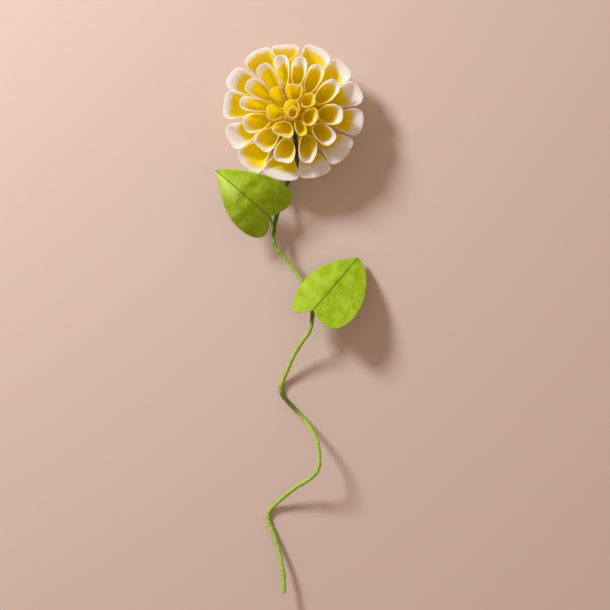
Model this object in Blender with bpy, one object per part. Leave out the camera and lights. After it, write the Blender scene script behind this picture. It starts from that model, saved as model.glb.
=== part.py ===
"""A crepe-paper dahlia on a bent wire stem with two heart-shaped leaves, lying face up.

All lengths are in metres. Seen from above, X is to the right and Y runs from the stem's cut end to the top
of the flower. The head is modelled round its own axis, and at the end everything moves together so that the
origin is under the middle of the whole flower, on the surface that it lies on.
"""

import math
from dataclasses import dataclass

import bmesh
import bpy
from mathutils import Vector

MM = 0.001

# Paper, and the clearance that is left between neighbouring pieces
PAPER = 0.45 * MM
GAP = 0.3 * MM

# The head: three rings of petals, each with the radius and the height that its tips reach, and with how steep
# they are there
INNER_RING_RADIUS = 15.8 * MM
MIDDLE_RING_RADIUS = 31.1 * MM
OUTER_RING_RADIUS = 44.5 * MM
CENTRE_TOP = 37.5 * MM
INNER_RING_TOP = 36 * MM
MIDDLE_RING_TOP = 31 * MM
OUTER_RING_TOP = 21 * MM
RIM_SLOPES = (math.radians(90), math.radians(78), math.radians(62), math.radians(42))
SHOULDER = 13 * MM
BELLY_RADIUS = 24 * MM
BELLY_BOTTOM = -17 * MM
BELLY_TOP = 24 * MM
CORE_RADIUS = 6.5 * MM
CORE_HEIGHT = 15 * MM
CLAW_SPREAD = math.radians(40)
CLAW_RADIUS = 0.85 * MM
CLAW_WRAP = math.radians(100)
CUP_DEPTH = 0.4
NARROWING = 0.5
RIM_DROP = 0.16
PARTED_DROP = 0.25
PARTED_FLARE = 0.25
NOTCH_WIDTH = 0.16

# The rolled strip in the middle of the head. Its rim lies a little below the rim of the wrap round it.
ROLL_RADIUS = 3.6 * MM
ROLL_OVAL = 1.2
ROLL_TURNS = 1.15
ROLL_LENGTH = 4 * MM
ROLL_SINK = 1.2 * MM
ROLL_SHIFT = 1 * MM
ROLL_TAPER = 0.2

# The stem and the stalks of the leaves
WIRE_DIAMETER = 1.2 * MM
WIRE_REACH = 1 * MM
TAPE = 0.4 * MM
STALK_DIAMETER = 1.4 * MM
STALK_GAP = 0.6 * MM
STALK_REACH = 0.6
CALYX_LENGTH = 3.4 * MM
CALYX_TOP_RADIUS = 4.4 * MM
STEM_RADIUS = WIRE_DIAMETER / 2 + GAP + TAPE

# How late the leaves' halves turn up or down on the way from the midrib to the edge
LIFT_CURVE = 1.5

# How finely the sheets and the tubes are divided
PETAL_COLUMNS = 10
PETAL_LEVELS = 3
OUTER_PETAL_LEVELS = 4
ROLL_COLUMNS = 22
ROLL_LEVELS = 2
LEAF_ROWS = 10
LEAF_COLUMNS = 8
BEND_SPACING = 2 * MM
STEM_SPACING = 5.5 * MM
STALK_SPACING = 4 * MM

RINGS = 3
STALK_JOINS = 2
MERGE = 0.001 * MM


@dataclass
class Petal:
    """A scooped petal on the head's ring map, where a tip of the outer ring is 3 rings from the middle.

    The tip and the foot, where the two margins come together, are each an azimuth in degrees and a ring
    number, and the width is in rings. The point is how narrow the scoop is toward its foot, and square how
    full its corners are. The margins of a parted scoop stay this share of its width apart. A notch is a dent
    in the rim at the tip.
    """

    tip: tuple
    foot: tuple
    width: float
    point: float = 0.2
    square: float = 0.2
    parted: float = 0.0
    notch: float = 0.0


INNER_PETALS = [
    Petal(tip=(84, 1.1), foot=(86, 0.46), width=0.76, square=0.35, notch=0.14),
    Petal(tip=(27, 1.02), foot=(48, 0.56), width=0.6, point=0, square=0.45),
    Petal(tip=(-17, 1.05), foot=(-17, 0.46), width=0.82, point=0.1, square=0),
    Petal(tip=(-65, 1.08), foot=(-61, 0.42), width=0.5, point=0.1, square=0.3),
    Petal(tip=(-114, 1.1), foot=(-118, 0.46), width=0.92, point=0.6, square=0.3),
    Petal(tip=(-174, 1.02), foot=(-178, 0.44), width=0.71, parted=0.4),
    Petal(tip=(131, 1.18), foot=(136, 0.5), width=0.57, parted=0.5),
]

MIDDLE_PETALS = [
    Petal(tip=(81, 2.28), foot=(81, 1.12), width=0.68),
    Petal(tip=(102, 2.42), foot=(104, 1.22), width=0.65, point=0.6),
    Petal(tip=(124, 2.33), foot=(123, 1.26), width=0.73, parted=0.5),
    Petal(tip=(147, 2.2), foot=(146, 1.16), width=0.7, parted=0.6),
    Petal(tip=(169, 2.17), foot=(169, 1.1), width=0.63, parted=0.6),
    Petal(tip=(-164, 2.03), foot=(-164, 1.1), width=0.86, square=0.3, parted=0.4),
    Petal(tip=(-133, 1.96), foot=(-132, 1.12), width=0.95, square=0.35, parted=0.3),
    Petal(tip=(-101, 2.08), foot=(-99, 1.16), width=0.93, point=0.4, square=0.3),
    Petal(tip=(-75, 2.15), foot=(-53, 1.2), width=0.82, point=-0.25, square=0.2),
    Petal(tip=(-37, 2.06), foot=(-31, 1.1), width=0.8, square=0.25),
    Petal(tip=(-4, 2.05), foot=(-4, 1.1), width=0.91, point=0.1),
    Petal(tip=(34, 2.2), foot=(20, 1.1), width=0.79, point=0.1, square=0.15),
    Petal(tip=(60, 2.19), foot=(52, 1.08), width=0.73, square=0.15, parted=0.3),
]

OUTER_PETALS = [
    Petal(tip=(96, 2.93), foot=(97, 2.42), width=1.24, point=1, square=0.4),
    Petal(tip=(67, 3.04), foot=(69, 2.24), width=1.35, square=0.1, parted=0.65),
    Petal(tip=(42, 3.1), foot=(43, 2.2), width=1.2, square=0.1, parted=0.6),
    Petal(tip=(19, 3.11), foot=(17, 2.1), width=1.15, square=0.15, parted=0.4),
    Petal(tip=(-8, 3.04), foot=(-7, 2.1), width=1.24, square=0.1, parted=0.55),
    Petal(tip=(-38, 2.91), foot=(-37, 2.1), width=1.47, square=0.05, parted=0.6),
    Petal(tip=(-69, 2.88), foot=(-67, 2.18), width=1.45, square=0.05, parted=0.7),
    Petal(tip=(-101, 2.84), foot=(-101, 2.16), width=1.65, square=0.1, parted=0.75),
    Petal(tip=(-132, 3.02), foot=(-131, 2.14), width=1.37, square=0.15, parted=0.65),
    Petal(tip=(-158, 2.92), foot=(-158, 2.1), width=1.2, square=0.15, parted=0.6),
    Petal(tip=(172, 2.94), foot=(172, 2.22), width=1.3, square=0.2, parted=0.7),
    Petal(tip=(148, 3.16), foot=(148, 2.26), width=1.14, square=0.15, parted=0.6),
    Petal(tip=(121, 3.11), foot=(121, 2.4), width=1.35, square=0.2, parted=0.7),
]

CENTRE_WRAP = Petal(tip=(92, 0.44), foot=(-90, 0.44), width=0.7, point=0.3, square=0.1)

# The stem as it lies, from under the core to its cut end, in mm. The third number is how high its underside is
# above the surface that it lies on. The first two are X and Y from the head's axis in the first two lists,
# and from the edge of the head, where Y is minus the outer ring's radius, in the last.
STEM_BEND = [(0.1, -0.5, 2.9), (0.4, -2.9, 1.3)]
STEM_UNDER_HEAD = [(1, -8, 1.5), (2, -16, 1.5), (2.6, -24, 1.6), (2, -32, 2.3)]
STEM_PAST_HEAD = [
    (-1, 6, 3.9), (-4.5, -0.5, 5.7), (-7.3, -10.5, 7.7), (-9.8, -18.5, 9), (-11.4, -25.5, 9.7),
    (-12, -32, 10.2), (-11.7, -36.3, 10.6), (-10.1, -39.7, 10.6), (-7.2, -42.9, 10.3), (-2.8, -48.5, 10),
    (1.7, -54.8, 10.2), (6.7, -61.8, 11.3), (10.5, -68.8, 13.2), (12.1, -75.1, 15.2), (12.6, -81.4, 16),
    (12.3, -87.1, 15.1), (10.6, -92.8, 13.5), (7, -97.9, 11.4), (3.9, -102.5, 9.3), (0.4, -108.8, 6.7),
    (-2.9, -116.5, 3.7), (-5.5, -122.5, 1.5), (-7.2, -127.1, 0.3), (-7.4, -130.6, 0), (-6.1, -134.1, 0.3),
    (-1.6, -139.1, 2.2), (3.5, -144, 5.2), (8.6, -150.1, 8.7), (12.4, -155.6, 11.7), (15.3, -161.1, 14.2),
    (16.6, -167.2, 16), (17, -173.4, 16.7), (16.6, -178.5, 16.4), (14.4, -182.5, 15.1), (9.9, -186.5, 12.5),
    (3.5, -190.8, 9), (-4.1, -197, 5), (-10.6, -203.2, 1.6), (-14.7, -207.7, 0.2), (-15.8, -211.5, 0),
    (-14.5, -216.5, 0.3), (-11.9, -223.1, 1.6), (-9.3, -231.1, 3.4), (-7.3, -238.5, 5), (-6, -246, 6.2),
    (-5.4, -252.8, 7.2), (-5.4, -259, 8),
]


@dataclass
class Leaf:
    """A heart-shaped leaf, folded along its midrib. Lengths are in mm.

    The base is the notch of the heart. It and the tip are X and Y from the edge of the head, and the height
    above the surface. The pairs are for the left and the right half, looking from the base to the tip: how
    wide it is, how far its lobe is drawn back, how closely the lobe keeps to the notch, how pointed it is,
    and how far its edge is lifted. The arch is how far the midrib rises in its middle. The stalk lies against
    the stem past the notch, on the side that is given as a direction.
    """

    base: tuple
    tip: tuple
    halves: tuple
    lobes: tuple
    hugs: tuple
    points: tuple
    lifts: tuple
    arch: float
    side: tuple


# The upper leaf arches over the rims of the petals beside it.
UPPER_LEAF = Leaf(
    base=(-14.4, -20.1, 15),
    tip=(-47.9, 8.5, OUTER_RING_TOP / MM + 3),
    halves=(18, 21.3),
    lobes=(8.6, 12),
    hugs=(9, 1.1),
    points=(1.3, 0.7),
    lifts=(-2, 1.5),
    arch=OUTER_RING_TOP / MM - 15,
    side=(-0.5, 0, 0.8),
)

LOWER_LEAF = Leaf(
    base=(13.4, -78.9, 22),
    tip=(42, -45.6, 4.5),
    halves=(16.4, 22.2),
    lobes=(10, 8.3),
    hugs=(14, 2),
    points=(1.1, 0.4),
    lifts=(-4.6, 2),
    arch=2.5,
    side=(0.4, 0, 0.9),
)


def clear_scene():
    for thing in list(bpy.data.objects):
        bpy.data.objects.remove(thing, do_unlink=True)


def paper_material(name, color, roughness=0.85):
    material = bpy.data.materials.new(name)
    material.use_nodes = True
    shader = material.node_tree.nodes["Principled BSDF"]
    shader.inputs["Base Color"].default_value = (*color, 1)
    shader.inputs["Roughness"].default_value = roughness
    shader.inputs["Metallic"].default_value = 0
    return material


def metal_material(name, color, roughness):
    material = paper_material(name, color, roughness)
    material.node_tree.nodes["Principled BSDF"].inputs["Metallic"].default_value = 1
    return material


def through(values, ring):
    """The value at a ring number, on a smooth curve through one value for each whole ring."""
    rises = [after - before for before, after in zip(values, values[1:])]
    slopes = [rises[0]]
    for before, after in zip(rises, rises[1:]):
        slopes.append(2 * before * after / (before + after) if before * after > 0 else 0)
    slopes.append(rises[-1])
    if ring >= RINGS:
        return values[-1] + (ring - RINGS) * slopes[-1]
    whole = int(ring)
    part = ring - whole
    rise = rises[whole]
    start, end = slopes[whole], slopes[whole + 1]
    bend = 3 * rise - 2 * start - end
    twist = start + end - 2 * rise
    return values[whole] + part * (start + part * (bend + part * twist))


def profile_point(ring, depth):
    """Radius and height on the curved ray of a ring, from the core at depth 0 to the rims at depth 1."""
    lean = CLAW_SPREAD * ring
    seat = CORE_RADIUS + GAP + PAPER / 2
    share = ring / RINGS
    start = Vector((seat * math.sin(lean), CORE_HEIGHT + seat * math.cos(lean)))
    belly = Vector((BELLY_RADIUS * share, BELLY_TOP + (BELLY_BOTTOM - BELLY_TOP) * share**2))
    end = Vector(
        (
            through((0, INNER_RING_RADIUS, MIDDLE_RING_RADIUS, OUTER_RING_RADIUS), ring),
            through((CENTRE_TOP, INNER_RING_TOP, MIDDLE_RING_TOP, OUTER_RING_TOP), ring),
        )
    )
    slope = through(RIM_SLOPES, ring)
    shoulder = end - SHOULDER * Vector((math.cos(slope), math.sin(slope)))
    rest = 1 - depth
    lower = rest * rest * (rest * start + 3 * depth * belly)
    return lower + depth * depth * (3 * rest * shoulder + depth * end)


def head_point(spot, depth):
    """The place in the head of a spot on the ring map, at a depth."""
    ring = max(spot.length, 1e-6)
    radius, height = profile_point(ring, depth)
    return Vector((spot.x * radius / ring, spot.y * radius / ring, height))


def ring_size(ring, depth):
    """How long one unit of the ring map is in the head, in the direction in which it is shortest."""
    step = 0.05
    ring = max(ring, 6 * step)
    radius = profile_point(ring, depth).x
    along = (profile_point(ring + step, depth) - profile_point(ring - step, depth)).length / (2 * step)
    return min(radius / ring, along)


def ring_spot(place):
    azimuth, ring = place
    return Vector((math.cos(math.radians(azimuth)), math.sin(math.radians(azimuth)))) * ring


def smooth(value):
    value = min(max(value, 0), 1)
    return value * value * (3 - 2 * value)


def bulge(turn, point):
    """Half the width of a drop shape whose margins meet at turns of -1 and 1, as a share of the widest."""
    angle = math.pi * turn / 2
    widest = 2 * math.sqrt(1 / (point + 2)) * ((point + 1) / (point + 2)) ** ((point + 1) / 2)
    return 2 * math.sin(angle) * math.cos(angle) ** (point + 1) / widest


def cup_outline(petal, turn):
    """How far forward and how far to the side the petal's cup is there, each as a share of the most."""
    forward = math.cos(math.pi * turn)
    straight = math.sin(math.pi / 2 * min(max(2 * turn, -1), 1))
    flared = straight * (1 + PARTED_FLARE * forward)
    aside = bulge(turn, petal.point) * (1 - petal.parted) + flared * petal.parted
    fuller = petal.square * (1 - petal.parted) * (1 - abs(aside)) * forward**2
    return forward * (1 + petal.square * (1 - forward**2)), aside * (1 + fuller)


def petal_spot(petal, turn, depth):
    """A spot of the petal's sheet on the ring map. The turn goes from one margin at -1 to the other at 1.

    The sheet is an open gutter at its claw, and its margins come together on the way to the rim.
    """
    tip, foot = ring_spot(petal.tip), ring_spot(petal.foot)
    middle = (tip + foot) / 2
    length = (tip - foot).length
    axis = (tip - foot) / length
    across = Vector((-axis.y, axis.x))
    unit = ring_size(middle.length, depth)
    inset = (PAPER + GAP) / 2 / unit
    slit = inset * (1 - petal.parted)
    narrowed = 1 - NARROWING * (1 - depth)
    along = (length / 2 - inset) * narrowed
    half = max(petal.width / 2 - inset - slit, 0) * narrowed
    forward, aside = cup_outline(petal, turn)
    dent = petal.notch * math.exp(-((turn / NOTCH_WIDTH) ** 2)) * depth
    cup = axis * (along * (forward - dent)) + across * (half * aside)
    claw = axis * math.cos(CLAW_WRAP * turn) + across * math.sin(CLAW_WRAP * turn)
    claw *= CLAW_RADIUS / unit
    opened = smooth(depth / CUP_DEPTH)
    return middle + claw.lerp(cup + across * (slit * turn), opened)


def petal_point(petal, turn, level):
    """A place on the petal's sheet. The level goes from its claw at 0 to its rim at 1."""
    inward = (1 - math.cos(math.pi * turn)) / 2
    drop = RIM_DROP + PARTED_DROP * petal.parted
    depth = level * (1 - drop * inward**2)
    return head_point(petal_spot(petal, turn, depth), depth)


def merge_points(mesh):
    """Joins the points of a row that comes to one place, as at a leaf's tip."""
    work = bmesh.new()
    work.from_mesh(mesh)
    bmesh.ops.remove_doubles(work, verts=work.verts, dist=MERGE)
    work.to_mesh(mesh)
    work.free()


def grid_object(name, rows, material):
    """A sheet object from rows of points, given the thickness of the paper on both sides of them."""
    width = len(rows[0])
    faces = []
    for row in range(len(rows) - 1):
        for column in range(width - 1):
            corner = row * width + column
            faces.append((corner, corner + 1, corner + width + 1, corner + width))
    mesh = bpy.data.meshes.new(name)
    mesh.from_pydata([point for row in rows for point in row], [], faces)
    merge_points(mesh)
    mesh.materials.append(material)
    mesh.shade_smooth()
    sheet = bpy.data.objects.new(name, mesh)
    bpy.context.collection.objects.link(sheet)
    solidify = sheet.modifiers.new("Paper", "SOLIDIFY")
    solidify.thickness = PAPER
    solidify.offset = 0
    solidify.use_even_offset = True
    return sheet


def petal_rows(petal, levels):
    turns = [2 * column / PETAL_COLUMNS - 1 for column in range(PETAL_COLUMNS + 1)]
    return [[petal_point(petal, turn, row / levels) for turn in turns] for row in range(levels + 1)]


def make_petal(name, petal, material, levels=PETAL_LEVELS):
    return grid_object(name, petal_rows(petal, levels), material)


def make_ring(prefix, petals, color, levels):
    made = []
    for number, petal in enumerate(petals, start=1):
        name = f"{prefix}_{number:02d}"
        made.append(make_petal(name, petal, paper_material(name, color), levels=levels))
    return made


def make_centre_roll():
    """A strip rolled up inside the centre wrap."""
    pitch = PAPER + 2 * GAP
    rows = []
    for row in range(ROLL_LEVELS + 1):
        below = 1 - row / ROLL_LEVELS
        height = CENTRE_TOP - ROLL_SINK - ROLL_LENGTH * below
        points = []
        for column in range(ROLL_COLUMNS + 1):
            share = column / ROLL_COLUMNS
            angle = math.pi / 2 - 2 * math.pi * ROLL_TURNS * share
            radius = (ROLL_RADIUS - pitch * ROLL_TURNS * share) * (1 - ROLL_TAPER * below)
            along = ROLL_OVAL * radius * math.sin(angle) - ROLL_SHIFT
            points.append(Vector((radius * math.cos(angle), along, height)))
        rows.append(points)
    return grid_object("centre_roll", rows, paper_material("centre_roll", (0.82, 0.62, 0.03)))


def turned_object(name, outline, material, steps=16):
    """A solid turned round the head's axis from an outline of (radius, height) points, outside from the top."""
    mesh = bpy.data.meshes.new(name)
    count = len(outline)
    mesh.from_pydata(
        [(radius, 0, height) for radius, height in outline],
        [(index, index + 1) for index in range(count - 1)],
        [],
    )
    mesh.materials.append(material)
    turned = bpy.data.objects.new(name, mesh)
    bpy.context.collection.objects.link(turned)
    screw = turned.modifiers.new("Turn", "SCREW")
    screw.angle = 2 * math.pi
    screw.steps = steps
    screw.render_steps = steps
    screw.use_merge_vertices = True
    screw.merge_threshold = 0.00001
    screw.use_smooth_shade = True
    return turned


def make_core():
    """The wound paper ball that the claws are glued on, with a blind hole for the end of the wire."""
    hole = WIRE_DIAMETER / 2 + GAP
    hole_top = CORE_HEIGHT + WIRE_REACH + GAP
    last = math.pi - math.asin(hole / CORE_RADIUS)
    steps = 9
    outline = []
    for step in range(steps + 1):
        angle = last * step / steps
        outline.append((CORE_RADIUS * math.sin(angle), CORE_HEIGHT + CORE_RADIUS * math.cos(angle)))
    outline += [(hole, hole_top), (0, hole_top)]
    return turned_object("petal_core", outline, paper_material("petal_core", (0.62, 0.55, 0.2)))


def make_calyx():
    """The tape wound in a cup under the core, where the stem begins."""
    inside = STEM_RADIUS + GAP
    seat = CORE_RADIUS + GAP
    top_angle = math.asin(CALYX_TOP_RADIUS / seat)
    low_angle = math.asin(inside / seat)
    steps = 4
    cup = []
    for step in range(steps + 1):
        angle = top_angle + (low_angle - top_angle) * step / steps
        cup.append((seat * math.sin(angle), CORE_HEIGHT - seat * math.cos(angle)))
    bottom = cup[0][1] - CALYX_LENGTH
    outline = [cup[0], (inside + TAPE, bottom), (inside, bottom)] + cup[:0:-1] + [cup[0]]
    return turned_object("calyx_wrap", outline, paper_material("calyx_wrap", (0.14, 0.26, 0.03)))


def smooth_route(points, spacing):
    """Evenly spaced points on a smooth curve through the given ones."""
    knots = [2 * points[0] - points[1], *points, 2 * points[-1] - points[-2]]
    dense = []
    pieces = 8
    for before, start, end, after in zip(knots, knots[1:], knots[2:], knots[3:]):
        for piece in range(pieces):
            part = piece / pieces
            leave, arrive = (end - before) / 2, (after - start) / 2
            bend = 3 * (end - start) - 2 * leave - arrive
            twist = leave + arrive - 2 * (end - start)
            dense.append(start + part * (leave + part * (bend + part * twist)))
    dense.append(points[-1])
    lengths = [0]
    for start, end in zip(dense, dense[1:]):
        lengths.append(lengths[-1] + (end - start).length)
    count = max(round(lengths[-1] / spacing), 2)
    even = []
    at = 0
    for number in range(count + 1):
        wanted = lengths[-1] * number / count
        while at < len(dense) - 2 and lengths[at + 1] < wanted:
            at += 1
        share = (wanted - lengths[at]) / (lengths[at + 1] - lengths[at])
        even.append(dense[at].lerp(dense[at + 1], share))
    return even


def curve_object(name, points, radius, material, resolution, capped):
    curve = bpy.data.curves.new(name, "CURVE")
    curve.dimensions = "3D"
    spline = curve.splines.new("POLY")
    spline.points.add(len(points) - 1)
    for knot, point in zip(spline.points, points):
        knot.co = (*point, 1)
    curve.bevel_depth = radius
    curve.bevel_resolution = resolution
    curve.use_fill_caps = capped
    curve.materials.append(material)
    thing = bpy.data.objects.new(name, curve)
    bpy.context.collection.objects.link(thing)
    return thing


def resting_level():
    """The height of the surface that the lowest places of the outer petals lie on."""
    rows = [row for petal in OUTER_PETALS for row in petal_rows(petal, OUTER_PETAL_LEVELS)]
    return min(point.z for row in rows for point in row) - PAPER / 2


def past_head(point):
    """A place that is given from the edge of the head and from the surface."""
    across, along, height = point
    return Vector((across * MM, along * MM - OUTER_RING_RADIUS, height * MM + resting_level()))


def under_head(point):
    """A place on the stem's middle that is given from the head's axis."""
    across, along, height = point
    return Vector((across * MM, along * MM, height * MM + resting_level() + STEM_RADIUS))


def stem_middle(point):
    """A place on the stem's middle that is given from the edge of the head."""
    return past_head(point) + Vector((0, 0, STEM_RADIUS))


def wire_points():
    """The middle of the wire, with its points close together in the bend under the core."""
    core_bottom = CORE_HEIGHT - CORE_RADIUS
    heights = (CORE_HEIGHT + WIRE_REACH, core_bottom, core_bottom - CALYX_LENGTH / 2)
    bend = [Vector((0, 0, height)) for height in heights] + [under_head(point) for point in STEM_BEND]
    lying = [under_head(point) for point in STEM_UNDER_HEAD] + [stem_middle(point) for point in STEM_PAST_HEAD]
    return smooth_route(bend + lying[:1], BEND_SPACING)[:-1] + smooth_route(lying, STEM_SPACING)


def make_stem():
    """The wire, and the tape wound round it from under the core to the cut end."""
    wire_route = wire_points()
    tape_start = Vector((0, 0, CORE_HEIGHT - CORE_RADIUS - GAP))
    below = [point for point in wire_route if point.z < tape_start.z - GAP]
    past_start = wire_route.index(below[0])
    tape_route = [tape_start] + wire_route[past_start:]
    steel = metal_material("stem_wire", (0.45, 0.45, 0.43), 0.35)
    wire = curve_object("stem_wire", wire_route, WIRE_DIAMETER / 2, steel, 2, True)
    green = paper_material("stem_tape", (0.17, 0.33, 0.05))
    tape = curve_object("stem_tape", tape_route, WIRE_DIAMETER / 2 + GAP, green, 2, False)
    wound = tape.modifiers.new("Tape", "SOLIDIFY")
    wound.thickness = TAPE
    wound.offset = 1
    return [wire, tape]


def leaf_point(leaf, length_share, side, below=0):
    """A place on a leaf, or this far below it: from its notch at 0 to its tip at 1, and from its left edge at
    -1 to its right edge at 1."""
    base, tip = past_head(leaf.base), past_head(leaf.tip)
    along = tip - base
    length = along.length
    along.normalize()
    right = along.cross(Vector((0, 0, 1))).normalized()
    up = right.cross(along)
    which = 0 if side < 0 else 1
    half = leaf.halves[which] * MM
    edge_across = half * bulge(length_share, leaf.points[which])
    drawn_back = leaf.lobes[which] * MM * bulge(length_share, leaf.hugs[which])
    edge_forward = length * math.sin(math.pi * length_share / 2) ** 2 - drawn_back
    share = abs(side)
    forward = length * length_share * (1 - share) + edge_forward * share
    across = edge_across * side
    crown = 4 * leaf.arch * MM * (forward / length) * (1 - forward / length)
    lift = leaf.lifts[which] * MM * abs(across / half) ** LIFT_CURVE
    return base + along * forward + right * across + up * (crown + lift - below)


def make_leaf(name, leaf):
    sides = [2 * side / LEAF_COLUMNS - 1 for side in range(LEAF_COLUMNS + 1)]
    rows = [[leaf_point(leaf, row / LEAF_ROWS, side) for side in sides] for row in range(LEAF_ROWS + 1)]
    return grid_object(name, rows, paper_material(name, (0.27, 0.48, 0.05)))


def make_stalk(name, leaf):
    """The leaf's own wire in its tape, under the midrib and then against the stem."""
    below = PAPER / 2 + STALK_GAP + STALK_DIAMETER / 2
    steps = 4
    route = [leaf_point(leaf, STALK_REACH * (1 - step / steps), 0, below) for step in range(steps + 1)]
    seat = Vector(leaf.side).normalized() * (STEM_RADIUS + GAP + STALK_DIAMETER / 2)
    past_notch = [point for point in STEM_PAST_HEAD if point[1] < leaf.base[1]]
    route += [stem_middle(point) + seat for point in past_notch[:STALK_JOINS]]
    green = paper_material(name, (0.17, 0.33, 0.05))
    return curve_object(name, smooth_route(route, STALK_SPACING), STALK_DIAMETER / 2, green, 1, True)


def place_on_origin(things):
    """Parents everything to an empty that is moved so that the origin is under the middle of the flower."""
    holder = bpy.data.objects.new("flower", None)
    bpy.context.collection.objects.link(holder)
    bpy.context.view_layer.update()
    graph = bpy.context.evaluated_depsgraph_get()
    corners = []
    for thing in things:
        evaluated = thing.evaluated_get(graph)
        mesh = evaluated.to_mesh()
        corners += [thing.matrix_world @ vertex.co for vertex in mesh.vertices]
        evaluated.to_mesh_clear()
        thing.parent = holder
    low = Vector([min(corner[axis] for corner in corners) for axis in range(3)])
    high = Vector([max(corner[axis] for corner in corners) for axis in range(3)])
    middle = (low + high) / 2
    holder.location = (-middle.x, -middle.y, -low.z)


def main():
    clear_scene()
    things = make_ring("petal_inner", INNER_PETALS, (0.84, 0.6, 0.02), PETAL_LEVELS)
    things += make_ring("petal_middle", MIDDLE_PETALS, (0.86, 0.64, 0.03), PETAL_LEVELS)
    things += make_ring("petal_outer", OUTER_PETALS, (0.88, 0.7, 0.1), OUTER_PETAL_LEVELS)
    things.append(make_petal("centre_wrap", CENTRE_WRAP, paper_material("centre_wrap", (0.84, 0.62, 0.03))))
    things.append(make_centre_roll())
    things.append(make_core())
    things.append(make_calyx())
    things += make_stem()
    things.append(make_leaf("leaf_upper", UPPER_LEAF))
    things.append(make_leaf("leaf_lower", LOWER_LEAF))
    things.append(make_stalk("leaf_stalk_upper", UPPER_LEAF))
    things.append(make_stalk("leaf_stalk_lower", LOWER_LEAF))
    place_on_origin(things)


main()
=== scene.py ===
"""The look of the paper flower: crepe petals, a wrapped stem and creased leaves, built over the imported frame.

Lengths are in metres. The petals, the stem and the leaves follow the same sizes and curves as the solids that
they stand for, in fine meshes of their own.
"""

import math
from dataclasses import dataclass

import bmesh
import bpy
import numpy as np
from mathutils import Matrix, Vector


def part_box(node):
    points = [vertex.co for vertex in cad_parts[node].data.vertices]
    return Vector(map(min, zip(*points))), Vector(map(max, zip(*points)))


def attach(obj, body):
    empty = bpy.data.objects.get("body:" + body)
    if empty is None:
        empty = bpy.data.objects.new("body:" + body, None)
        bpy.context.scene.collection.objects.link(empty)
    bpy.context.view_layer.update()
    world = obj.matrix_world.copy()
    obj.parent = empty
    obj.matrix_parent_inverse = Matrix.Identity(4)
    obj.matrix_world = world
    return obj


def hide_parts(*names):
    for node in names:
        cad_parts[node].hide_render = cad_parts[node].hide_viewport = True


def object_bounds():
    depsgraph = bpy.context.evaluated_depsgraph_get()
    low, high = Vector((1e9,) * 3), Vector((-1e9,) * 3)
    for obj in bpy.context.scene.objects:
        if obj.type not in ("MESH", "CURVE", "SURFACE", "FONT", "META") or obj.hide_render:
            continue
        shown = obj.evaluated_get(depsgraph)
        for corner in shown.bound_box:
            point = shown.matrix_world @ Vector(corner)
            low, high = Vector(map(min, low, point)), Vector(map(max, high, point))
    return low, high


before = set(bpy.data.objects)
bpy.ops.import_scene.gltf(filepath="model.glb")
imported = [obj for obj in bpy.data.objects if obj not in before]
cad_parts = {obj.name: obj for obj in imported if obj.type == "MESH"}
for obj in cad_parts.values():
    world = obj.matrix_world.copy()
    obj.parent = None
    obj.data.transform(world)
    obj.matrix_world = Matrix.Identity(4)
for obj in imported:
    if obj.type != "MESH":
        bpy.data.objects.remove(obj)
CAD_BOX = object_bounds()

MM = 0.001

# Paper, and the clearance between neighbouring pieces
PAPER = 0.45 * MM
GAP = 0.3 * MM

# The head, as in the solids
INNER_RING_RADIUS = 15.8 * MM
MIDDLE_RING_RADIUS = 31.1 * MM
OUTER_RING_RADIUS = 44.5 * MM
CENTRE_TOP = 37.5 * MM
INNER_RING_TOP = 36 * MM
MIDDLE_RING_TOP = 31 * MM
OUTER_RING_TOP = 21 * MM
CURLED_SLOPES = (math.radians(90), math.radians(76), math.radians(56), math.radians(6))
SHOULDER = 13 * MM
BELLY_RADIUS = 24 * MM
BELLY_BOTTOM = -17 * MM
BELLY_TOP = 24 * MM
CORE_RADIUS = 6.5 * MM
CORE_HEIGHT = 15 * MM
CLAW_SPREAD = math.radians(40)
CLAW_RADIUS = 0.85 * MM
CLAW_WRAP = math.radians(100)
CUP_DEPTH = 0.4
NARROWING = 0.55
OUTER_NARROWING = 0.66
RIM_DROP = 0.16
PARTED_DROP = 0.25
PARTED_FLARE = 0.25
NOTCH_WIDTH = 0.16
RINGS = 3
STALK_JOINS = 2

# The rolled strip in the middle of the head
ROLL_RADIUS = 3.6 * MM
ROLL_OVAL = 1.2
ROLL_TURNS = 1.15
ROLL_LENGTH = 4 * MM
ROLL_SINK = 1.2 * MM
ROLL_SHIFT = 1 * MM
ROLL_TAPER = 0.2

# The stem and the stalks of the leaves
WIRE_DIAMETER = 1.2 * MM
WIRE_REACH = 1 * MM
TAPE = 0.4 * MM
STALK_DIAMETER = 1.4 * MM
STALK_GAP = 0.6 * MM
STALK_REACH = 0.6
STALK_TIP = 0.4
STALK_TAPER = 7 * MM
# How much painted shade darkens the stalks' tape all along, as they lie under their leaves
STALK_PAINTED_SHADE = 0.6
CALYX_LENGTH = 3.4 * MM
CALYX_TOP_RADIUS = 4.4 * MM
STEM_RADIUS = WIRE_DIAMETER / 2 + GAP + TAPE
LIFT_CURVE = 1.5

# How finely the meshes here are divided
PETAL_COLUMNS = 72
PETAL_LEVELS = 40
ROLL_COLUMNS = 150
ROLL_LEVELS = 16
LEAF_ROWS = 110
LEAF_COLUMNS = 90
TUBE_SIDES = 28
TUBE_SPACING = 0.4 * MM
CALYX_ROWS = 60
EDGE_STEPS = 4
THIN_EDGE = 0.03 * MM

# The share of the light that passes through a petal
PASSED_LIGHT = 0.66

# The camera looks straight down. Its place is X and Y from the head's axis, and its height above the floor.
CAMERA_PLACE = (8 * MM, -120.2 * MM)
CAMERA_HEIGHT = 925 * MM
FRAME_WIDTH = 392.2 * MM
SENSOR_WIDTH = 36


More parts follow.
